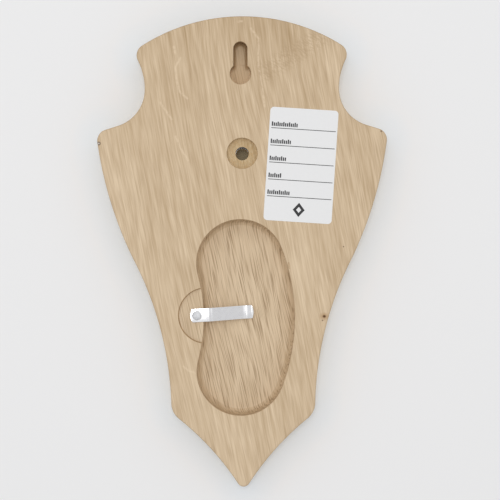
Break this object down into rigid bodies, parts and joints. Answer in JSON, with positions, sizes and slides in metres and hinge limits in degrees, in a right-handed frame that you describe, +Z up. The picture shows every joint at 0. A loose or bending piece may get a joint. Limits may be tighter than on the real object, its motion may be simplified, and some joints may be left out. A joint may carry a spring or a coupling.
{
  "type": "antler mounting plaque",
  "caption": "Shield-shaped oak plaque for roe antlers, with a moulded edge; its back has a keyhole, a skull screw hole, a jaw recess with a swivelling clip, and a record label.",
  "frame": {"origin": "on the flat back face, on the board's centre line, 50 mm below the top of the crown: the mount wall_back", "axes": "+Z up as the plaque hangs, +Y out of the back face towards the wall, +X to the right of a viewer who faces the front"},
  "size_m": [0.15, 0.018, 0.2435],
  "materials": {
    "oak": "bare planed oak, unvarnished",
    "clip_aluminium": "bright rolled sheet",
    "pin_steel": "dull zinc plate",
    "label_paper": "smooth white sticker"
  },
  "bodies": {
    "board": {"plaque": "oak", "clip_pin": "pin_steel", "record_label": "label_paper"},
    "clip": {"jaw_clip": "clip_aluminium"}
  },
  "joints": [
    {"name": "clip_swivel", "type": "hinge", "parent": "board", "child": "clip", "pos_m": [0.02375, -0.0012, -0.1048], "axis": [0, 1, 0], "range_deg": [-35, 35]}
  ]
}
